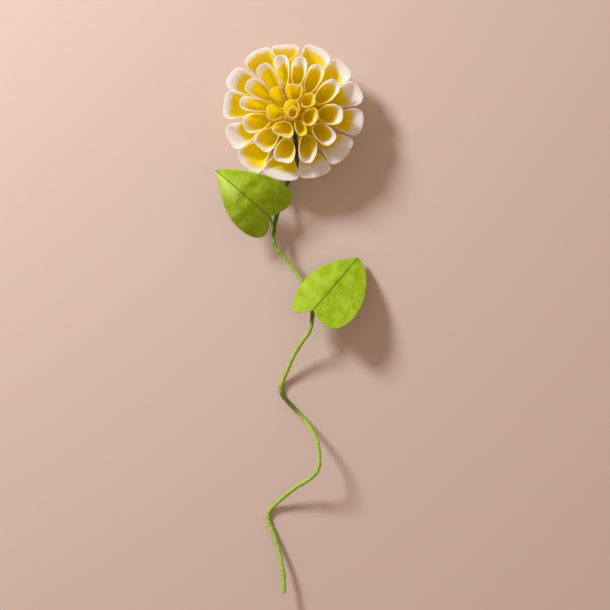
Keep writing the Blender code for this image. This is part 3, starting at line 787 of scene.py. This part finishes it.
# The stem, the stalks and the calyx

def smooth_route(points, spacing):
    """Evenly spaced points on a smooth curve through the given ones."""
    points = np.asarray(points, float)
    knots = np.concatenate(([2 * points[0] - points[1]], points, [2 * points[-1] - points[-2]]))
    part = np.linspace(0, 1, 24, endpoint=False)[:, None]
    dense = []
    for before, start, end, after in zip(knots, knots[1:], knots[2:], knots[3:]):
        leave, arrive = (end - before) / 2, (after - start) / 2
        bend = 3 * (end - start) - 2 * leave - arrive
        twist = leave + arrive - 2 * (end - start)
        dense.append(start + part * (leave + part * (bend + part * twist)))
    dense = np.concatenate([*dense, points[-1:]])
    lengths = np.concatenate(([0], np.cumsum(np.linalg.norm(np.diff(dense, axis=0), axis=1))))
    count = max(round(lengths[-1] / spacing), 2)
    wanted = np.linspace(0, lengths[-1], count + 1)
    return np.stack([np.interp(wanted, lengths, dense[:, axis]) for axis in range(3)], -1)


def past_head(point):
    """A place that is given from the edge of the head and from the surface."""
    across, along, height = point
    return np.array((across * MM, along * MM - OUTER_RING_RADIUS, height * MM + REST))


def under_head(point):
    across, along, height = point
    return np.array((across * MM, along * MM, height * MM + REST + STEM_RADIUS))


def stem_middle(point):
    return past_head(point) + (0, 0, STEM_RADIUS)


def tube_frames(route):
    """Two unit vectors across each point of a route, which turn as little as they can."""
    along = unit(np.gradient(route, axis=0))
    first = np.zeros_like(route)
    start = np.cross(along[0], (0, 0, 1))
    if np.linalg.norm(start) < 0.1:
        start = np.cross(along[0], (1, 0, 0))
    first[0] = unit(start)
    for number in range(1, len(route)):
        carried = first[number - 1] - along[number] * np.dot(first[number - 1], along[number])
        first[number] = unit(carried)
    return first, np.cross(along, first)


def tube_object(name, route, radii, attributes, material, inside=None):
    """A tube round a route, with a radius for each point and side. It is solid, or has a bore if given."""
    count, sides = radii.shape
    first, second = tube_frames(route)
    angle = 2 * math.pi * np.arange(sides) / sides
    ring = np.cos(angle)[None, :, None] * first[:, None, :] + np.sin(angle)[None, :, None] * second[:, None, :]
    outer = route[:, None, :] + ring * radii[..., None]
    bore = np.full((count, sides), 0.0) if inside is None else inside
    if inside is None:
        ends = []
        for at, step in ((0, -1), (-1, 1)):
            direction = unit(route[at] - route[1 if at == 0 else -2])
            for share in (0.97, 0.8, 0.45, 0.04):
                shift = direction * radii[at].mean() * 0.55 * math.sqrt(1 - share * share)
                ends.append((at, route[at] + shift + ring[at] * (radii[at] * share)[:, None]))
        before = [shape for at, shape in ends if at == 0][::-1]
        after = [shape for at, shape in ends if at == -1]
        shells = np.concatenate([np.array(before), outer, np.array(after)])
        picks = np.concatenate(([0] * len(before), np.arange(count), [count - 1] * len(after)))
        closed = False
    else:
        inner = route[:, None, :] + ring * bore[..., None]
        shells = np.concatenate([outer, inner[::-1]])
        picks = np.concatenate((np.arange(count), np.arange(count)[::-1]))
        closed = True
    rows = len(shells)
    faces = grid_faces(rows, sides, wrap=True)[:, ::-1]
    if closed:
        last = (rows - 1) * sides + np.arange(sides)
        start = np.arange(sides)
        faces = np.concatenate([faces, np.stack((start, np.roll(start, -1), np.roll(last, -1), last), axis=1)])
    values = {title: value[picks].reshape(rows * sides, *value.shape[2:]) for title, value in attributes.items()}
    thing = mesh_object(name, shells.reshape(-1, 3), faces, values, material)
    if not closed:
        close_ends(thing, rows, sides)
    return thing


def close_ends(thing, rows, sides):
    """Closes the small holes that are left in the middle of a tube's two ends."""
    work = bmesh.new()
    work.from_mesh(thing.data)
    work.verts.ensure_lookup_table()
    for first in (0, (rows - 1) * sides):
        corners = [work.verts[first + number] for number in range(sides)]
        work.faces.new(corners if first else corners[::-1]).smooth = True
    bmesh.ops.recalc_face_normals(work, faces=work.faces)
    work.to_mesh(thing.data)
    work.free()


def wrapped_radii(route, radius, pitch, step, random):
    """A radius for each point and side of a tape-wound tube, and how far each is past the last turn's edge."""
    lengths = np.concatenate(([0], np.cumsum(np.linalg.norm(np.diff(route, axis=0), axis=1))))
    angle = np.arange(TUBE_SIDES) / TUBE_SIDES
    drift = 0.18 * waves(lengths / MM, 37, random)
    turns = lengths[:, None] / pitch + drift[:, None] - angle[None, :]
    past = turns - np.floor(turns)
    ridge = step * (1 - smooth(past / 0.75)) * smooth(past / 0.05)
    uneven = 0.035 * MM * waves(lengths / MM, 9, random)
    twisted = 0.03 * MM * np.sin(2 * math.pi * (angle[None, :] * 3 + lengths[:, None] / (11 * MM)))
    radii = radius + ridge - step * 0.35 + uneven[:, None] + twisted
    around = np.broadcast_to(2 * math.pi * angle * radius / MM, radii.shape)
    along = np.broadcast_to((lengths / MM)[:, None], radii.shape)
    paper = np.stack((along, around + 0.9 * along, np.full(radii.shape, 2.0)), -1)
    return radii, {"paper": paper, "overlap": past}


def along_tape(route, places):
    """The strength of the nearby places along the stem, at each point of its route."""
    past = (route[:, 1] + OUTER_RING_RADIUS) / MM
    return sum(strength * np.exp(-(((past - place) / reach) ** 2)) for place, reach, strength in places)


def make_stem(tape):
    core_bottom = CORE_HEIGHT - CORE_RADIUS
    bend = [np.array((0, 0, height)) for height in (core_bottom - GAP, core_bottom - CALYX_LENGTH / 2)]
    bend += [under_head(point) for point in STEM_BEND]
    lying = [under_head(point) for point in STEM_UNDER_HEAD] + [stem_middle(point) for point in STEM_PAST_HEAD]
    bent = smooth_route(bend + lying[:1], TUBE_SPACING)
    route = np.concatenate((bent[:-1], smooth_route(lying, TUBE_SPACING)))
    random = np.random.default_rng(5)
    lumps = MM * along_tape(route, TAPE_LUMPS)[:, None]
    radii, attributes = wrapped_radii(route, STEM_RADIUS + lumps, 6.2 * MM, 0.16 * MM, random)
    # Painted shade on the tape where the stem lies in the shade of the head, the leaves and its own bends
    attributes["painted_tape_shade"] = np.broadcast_to(along_tape(route, PAINTED_TAPE_SHADE)[:, None], radii.shape)
    bore = np.full(radii.shape, WIRE_DIAMETER / 2 + 0.1 * MM)
    piece = tube_object("stem_tape", route + HEAD, radii, attributes, tape, bore)
    return finish_piece(piece, "stem_tape_paper", "stem_tape")


def make_stalk(name, leaf, tape, seed):
    below = PAPER / 2 + STALK_GAP + STALK_DIAMETER / 2
    steps = 4
    route = [leaf_points(leaf, STALK_REACH * (1 - step / steps), 0.0, below) for step in range(steps + 1)]
    seat = unit(np.array(leaf.side, float)) * (STEM_RADIUS + GAP + STALK_DIAMETER / 2)
    past_notch = [point for point in STEM_PAST_HEAD if point[1] < leaf.base[1]]
    route += [stem_middle(point) + seat for point in past_notch[:STALK_JOINS]]
    route = smooth_route(route, TUBE_SPACING)
    random = np.random.default_rng(seed)
    radii, attributes = wrapped_radii(route, STALK_DIAMETER / 2, 5 * MM, 0.1 * MM, random)
    # The stalks' tape, under their leaves, is darkened all along with the same painted shade
    attributes["painted_tape_shade"] = np.full(radii.shape, STALK_PAINTED_SHADE)
    steps_left = np.arange(len(route))[::-1, None]
    radii = radii * (STALK_TIP + (1 - STALK_TIP) * smooth(steps_left * TUBE_SPACING / STALK_TAPER))
    piece = tube_object(name, route + HEAD, radii, attributes, tape)
    return finish_piece(piece, "stem_tape_paper", name)


def make_calyx(tape):
    """The tape wound in a cup under the core, where the stem begins."""
    inside = STEM_RADIUS + GAP
    seat = CORE_RADIUS + GAP
    share = np.linspace(0, 1, CALYX_ROWS + 1)
    height = CORE_HEIGHT - math.sqrt(seat**2 - CALYX_TOP_RADIUS**2) - CALYX_LENGTH * share
    outer = CALYX_TOP_RADIUS + (inside + TAPE - CALYX_TOP_RADIUS) * share
    hollow = np.sqrt(np.maximum(seat**2 - (CORE_HEIGHT - height) ** 2, inside**2))
    route = np.stack((np.zeros_like(height), np.zeros_like(height), height), -1)
    random = np.random.default_rng(41)
    radii, attributes = wrapped_radii(route, outer[:, None], 1.7 * MM, 0.12 * MM, random)
    bore = np.minimum(hollow[:, None], radii - THIN_EDGE)
    piece = tube_object("calyx_wrap", route + HEAD, radii, attributes, tape, bore)
    return finish_piece(piece, "stem_tape_paper", "calyx_wrap")


# Leaves

def leaf_frame(leaf):
    base, tip = past_head(leaf.base), past_head(leaf.tip)
    length = np.linalg.norm(tip - base)
    along = (tip - base) / length
    right = unit(np.cross(along, (0, 0, 1)))
    return base, length, along, right, np.cross(right, along)


def leaf_flat(leaf, length_share, side):
    """How far forward and how far across a place on a leaf is."""
    length = leaf_frame(leaf)[1]
    left = np.asarray(side) < 0
    half = np.where(left, leaf.halves[0], leaf.halves[1]) * MM
    lobe = np.where(left, leaf.lobes[0], leaf.lobes[1]) * MM
    edge_across = half * np.where(left, bulge(length_share, leaf.points[0]), bulge(length_share, leaf.points[1]))
    hug = np.where(left, bulge(length_share, leaf.hugs[0]), bulge(length_share, leaf.hugs[1]))
    edge_forward = length * np.sin(math.pi * length_share / 2) ** 2 - lobe * hug
    share = np.abs(side)
    forward = length * length_share * (1 - share) + edge_forward * share
    return forward, edge_across * side, half


def leaf_points(leaf, length_share, side, below=0.0):
    """Places on a leaf, or this far below it: from its notch at 0 to its tip at 1, and from its left edge at
    -1 to its right edge at 1."""
    base, length, along, right, up = leaf_frame(leaf)
    forward, across, half = leaf_flat(leaf, length_share, side)
    lifts = np.where(np.asarray(side) < 0, leaf.lifts[0], leaf.lifts[1]) * MM
    crown = 4 * leaf.arch * MM * (forward / length) * (1 - forward / length)
    height = crown + lifts * np.abs(across / half) ** LIFT_CURVE - below
    return base + forward[..., None] * along + across[..., None] * right + height[..., None] * up


def facets(forward, across, random):
    """The flat facets and sharp folds of crumpled paper, as heights between about -1 and 1. Places are in mm."""
    height = np.zeros_like(forward)
    folds = 6
    for _ in range(folds):
        direction = random.uniform(0, math.pi)
        spacing = random.uniform(7, 17)
        place = (forward * math.cos(direction) + across * math.sin(direction)) / spacing + random.uniform(0, 1)
        place = place + 0.12 * np.sin(0.35 * (forward * math.sin(direction) - across * math.cos(direction)))
        height += 4 * np.abs(place - np.floor(place) - 0.5) - 1
    return height / math.sqrt(folds)


def make_leaf(name, leaf, seed, material):
    random = np.random.default_rng(seed)
    share = np.linspace(0.001, 0.999, LEAF_ROWS + 1)[:, None]
    side = np.linspace(-1, 1, LEAF_COLUMNS + 1)[None, :]
    share, side = np.broadcast_arrays(share, side)
    forward, across, half = leaf_flat(leaf, share, side)
    points = leaf_points(leaf, share, side)
    wrinkles = facets(forward / MM, across / MM, random)
    groove = -0.22 * MM * np.exp(-((across / (0.45 * MM)) ** 2))
    lift = 0.32 * MM * wrinkles * smooth(1.5 * share) * smooth(1.5 * (1 - share)) + groove
    points = points + lift[..., None] * leaf_frame(leaf)[4]
    paper = np.stack((across / MM, forward / MM, np.full(share.shape, float(seed))), -1)
    # The patch of painted light, strongest round the given place and fading away from it
    pale = leaf.pale[2] * np.exp(-(((share - leaf.pale[0]) / 0.33) ** 2) - ((side - leaf.pale[1]) / 0.6) ** 2)
    attributes = {"paper": paper, "from_fold": np.abs(across) / MM, "pale": pale}
    piece = sheet_object(name, points + HEAD, PAPER, attributes, material)
    return finish_piece(piece, "leaf_paper", name)


# The room

def make_camera():
    data = bpy.data.cameras.new("camera")
    data.sensor_width = SENSOR_WIDTH
    data.lens = SENSOR_WIDTH * CAMERA_HEIGHT / FRAME_WIDTH
    data.clip_start = 0.01
    data.clip_end = 20
    camera = bpy.data.objects.new("camera", data)
    camera.location = (HEAD[0] + CAMERA_PLACE[0], HEAD[1] + CAMERA_PLACE[1], CAMERA_HEIGHT)
    bpy.context.scene.collection.objects.link(camera)
    bpy.context.scene.camera = camera


def make_floor():
    """A pale floor with nothing on it."""
    half = 3
    mesh = bpy.data.meshes.new("floor")
    mesh.from_pydata([(-half, -half, 0), (half, -half, 0), (half, half, 0), (-half, half, 0)], [], [(0, 1, 2, 3)])
    material, _, shader = new_material("floor_paint", 0.9)
    shader.inputs["Base Color"].default_value = (0.58, 0.435, 0.383, 1)
    mesh.materials.append(material)
    floor = bpy.data.objects.new("floor", mesh)
    floor.location.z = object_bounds()[0].z
    bpy.context.scene.collection.objects.link(floor)


def make_lights():
    """One soft lamp from the upper left of the picture, and a pale room all round."""
    elevation = math.radians(30.5)
    reach = 1.3
    toward = Vector((-0.71, 0.70, 0)).normalized() * math.cos(elevation) + Vector((0, 0, math.sin(elevation)))
    data = bpy.data.lights.new("key", "AREA")
    data.shape = "DISK"
    data.size = 0.3
    data.energy = 23
    data.color = (0.89, 0.96, 1)
    lamp = bpy.data.objects.new("key", data)
    target = Vector((HEAD[0], HEAD[1] - 0.08, 0.02))
    lamp.location = target + toward * reach
    lamp.rotation_euler = (-toward).to_track_quat("-Z", "Y").to_euler()
    bpy.context.scene.collection.objects.link(lamp)
    world = bpy.data.worlds.new("room")
    world.use_nodes = True
    tree = world.node_tree
    light = tree.nodes["Background"]
    light.inputs["Color"].default_value = (1, 0.78, 0.60, 1)
    light.inputs["Strength"].default_value = 0.52
    seen = add_node(tree, "ShaderNodeBackground", inputs={"Color": (0.86, 0.70, 0.60, 1)})
    rays = add_node(tree, "ShaderNodeLightPath")
    either = add_node(tree, "ShaderNodeMixShader", inputs={"Fac": rays.outputs["Is Camera Ray"]})
    tree.links.new(light.outputs["Background"], either.inputs[1])
    tree.links.new(seen.outputs["Background"], either.inputs[2])
    tree.links.new(either.outputs["Shader"], tree.nodes["World Output"].inputs["Surface"])
    bpy.context.scene.world = world


def dress_solids():
    """Better materials for the solids that stay."""
    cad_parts["stem_wire"].data.materials[0] = steel_material()
    core = plain_paper_material("core_crepe", (0.62, 0.44, 0.03), (0.84, 0.66, 0.12))
    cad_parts["petal_core"].data.materials[0] = core


def main():
    make_camera()
    make_head()
    tape = tape_material("stem_tape_crepe")
    make_stem(tape)
    make_calyx(tape)
    leaf = leaf_material()
    make_leaf("leaf_upper", UPPER_LEAF, 21, leaf)
    make_leaf("leaf_lower", LOWER_LEAF, 22, leaf)
    make_stalk("leaf_stalk_upper", UPPER_LEAF, tape, 31)
    make_stalk("leaf_stalk_lower", LOWER_LEAF, tape, 32)
    dress_solids()
    make_floor()
    make_lights()
    bpy.context.scene.view_settings.view_transform = "Standard"


main()
